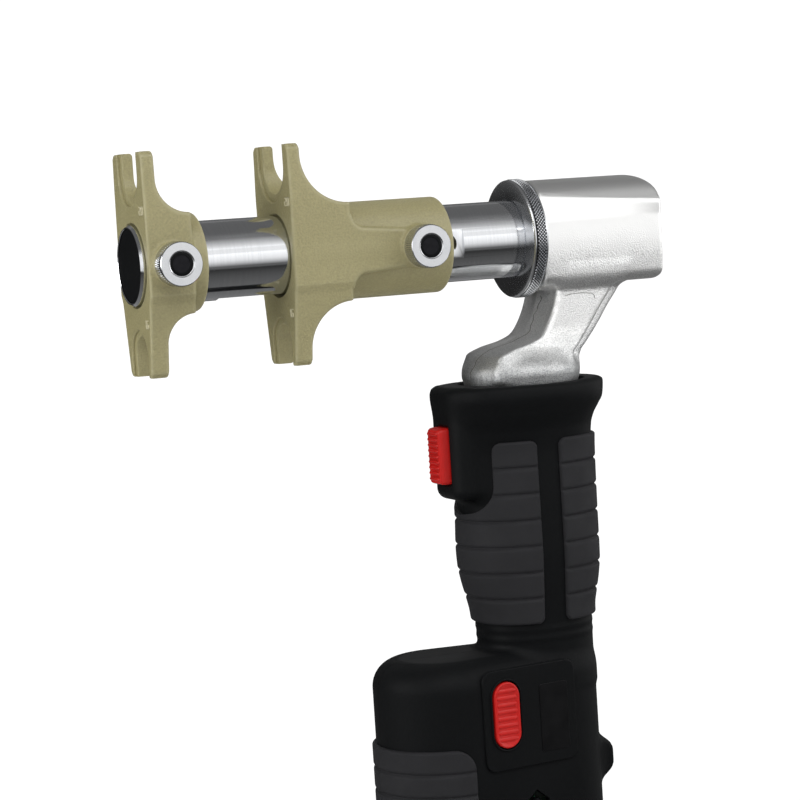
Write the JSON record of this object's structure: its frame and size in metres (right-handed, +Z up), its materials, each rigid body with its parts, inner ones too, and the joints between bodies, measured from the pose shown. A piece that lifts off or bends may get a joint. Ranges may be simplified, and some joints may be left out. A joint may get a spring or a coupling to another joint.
{
  "type": "cordless axial pipe press",
  "caption": "Pistol-grip cordless press tool with a swivelling hydraulic head that draws two forked yokes together along a chromed rod to slide sleeves onto plastic pipe fittings.",
  "frame": {"origin": "middle of the battery pack's underside", "axes": "+Z up along the grip, -X the way the yokes point, +Y to the right of someone holding it"},
  "size_m": [0.199, 0.075, 0.3555],
  "materials": {
    "black_shell": "fine-textured moulded nylon",
    "grey_pad": "matte overmoulded elastomer",
    "red_plastic": "moulded, satin",
    "khaki_paint": "khaki paint on cast steel",
    "hard_chrome": "ground and hard-chromed",
    "cast_head": "shot-blasted and nickel-plated casting",
    "steel": "turned",
    "black_steel": "black oxide",
    "gear_brass": "cut",
    "seal_rubber": "moulded",
    "circuit": "glass-fibre laminate",
    "cells": null,
    "ferrite": "sintered"
  },
  "bodies": {
    "handle": {"left_housing": "black_shell", "right_housing": "black_shell", "left_front_pad": "grey_pad", "right_front_pad": "grey_pad", "left_rear_pad": "grey_pad", "right_rear_pad": "grey_pad", "left_lower_pad": "grey_pad", "right_lower_pad": "grey_pad", "housing_screws": "steel", "pump_block": "cast_head", "oil_bladder": "seal_rubber", "pump_plunger": "steel", "swivel_ring": "steel", "trigger_switch": "black_shell", "trigger_spring": "steel", "return_switch": "black_shell", "return_dome": "seal_rubber", "control_board": "circuit", "terminal_block": "black_shell", "gear_plate": "steel", "idler_pin": "steel", "motor_can": "steel", "motor_cap": "black_shell", "motor_magnets": "ferrite"},
    "trigger": {"trigger": "red_plastic"},
    "release": {"release_button": "red_plastic"},
    "rotor": {"rotor": "steel", "motor_pinion": "gear_brass"},
    "idler": {"idler_gear": "gear_brass"},
    "pump": {"pump_gear": "gear_brass", "pump_shaft": "steel", "eccentric_bearing": "steel"},
    "head": {"head_casting": "cast_head", "gland_nut": "hard_chrome", "guide_tube": "hard_chrome", "inner_yoke": "khaki_paint", "inner_bush": "steel", "inner_spring": "steel", "return_spring": "steel", "swivel_seal": "seal_rubber"},
    "inner_lock": {"inner_knob": "hard_chrome", "inner_pin": "black_steel"},
    "press_rod": {"outer_yoke": "khaki_paint", "yoke_carrier": "hard_chrome", "rod_cap": "black_shell", "pull_rod": "steel", "piston": "steel", "piston_seal": "seal_rubber", "piston_nut": "steel", "outer_bush": "steel", "outer_spring": "steel"},
    "outer_lock": {"outer_knob": "hard_chrome", "outer_pin": "black_steel"},
    "battery": {"battery_tray": "black_shell", "battery_cover": "black_shell", "battery_cells": "cells", "latch_spring": "steel"},
    "battery_latch": {"battery_latch": "red_plastic"}
  },
  "joints": [
    {"name": "head_swivel", "type": "hinge", "parent": "handle", "child": "head", "pos_m": [0.021, 0, 0.265], "axis": [0, 0, 1], "range_deg": [-175, 175]},
    {"name": "press_stroke", "type": "slide", "parent": "head", "child": "press_rod", "axis": [1, 0, 0], "range_m": [0, 0.024], "stiffness_N_per_m": 1500, "springref_m": -0.015, "deforming": ["return_spring"]},
    {"name": "inner_lock_pull", "type": "slide", "parent": "head", "child": "inner_lock", "axis": [0, -1, 0], "range_m": [0, 0.0045], "stiffness_N_per_m": 800, "springref_m": -0.003, "deforming": ["inner_spring"]},
    {"name": "outer_lock_pull", "type": "slide", "parent": "press_rod", "child": "outer_lock", "axis": [0, -1, 0], "range_m": [0, 0.0045], "stiffness_N_per_m": 800, "springref_m": -0.003, "deforming": ["outer_spring"]},
    {"name": "trigger_press", "type": "slide", "parent": "handle", "child": "trigger", "axis": [1, 0, 0], "range_m": [0, 0.0025], "stiffness_N_per_m": 1200, "springref_m": -0.002, "deforming": ["trigger_spring"]},
    {"name": "release_press", "type": "slide", "parent": "handle", "child": "release", "axis": [-0.1146, 0.9934, 0], "range_m": [0, 0.0015], "stiffness_N_per_m": 1200, "springref_m": -0.0015, "deforming": ["return_dome"]},
    {"name": "rotor_spin", "type": "hinge", "parent": "handle", "child": "rotor", "pos_m": [-0.0189, 0, 0.12], "axis": [0, 0, 1], "continuous": true},
    {"name": "idler_spin", "type": "hinge", "parent": "handle", "child": "idler", "pos_m": [0.00105, 0, 0.15], "axis": [0, 0, 1], "continuous": true},
    {"name": "pump_spin", "type": "hinge", "parent": "handle", "child": "pump", "pos_m": [0.021, 0, 0.16], "axis": [0, 0, 1], "continuous": true},
    {"name": "battery_slide", "type": "slide", "parent": "handle", "child": "battery", "axis": [-1, 0, 0], "range_m": [0, 0.09]},
    {"name": "battery_latch_press", "type": "slide", "parent": "battery", "child": "battery_latch", "axis": [0, 0, -1], "range_m": [0, 0.003], "stiffness_N_per_m": 1000, "springref_m": -0.003, "deforming": ["latch_spring"]}
  ],
  "couplings": [
    {"joint": "idler_spin", "follows": "rotor_spin", "ratio": -0.4},
    {"joint": "pump_spin", "follows": "rotor_spin", "ratio": 0.16}
  ]
}
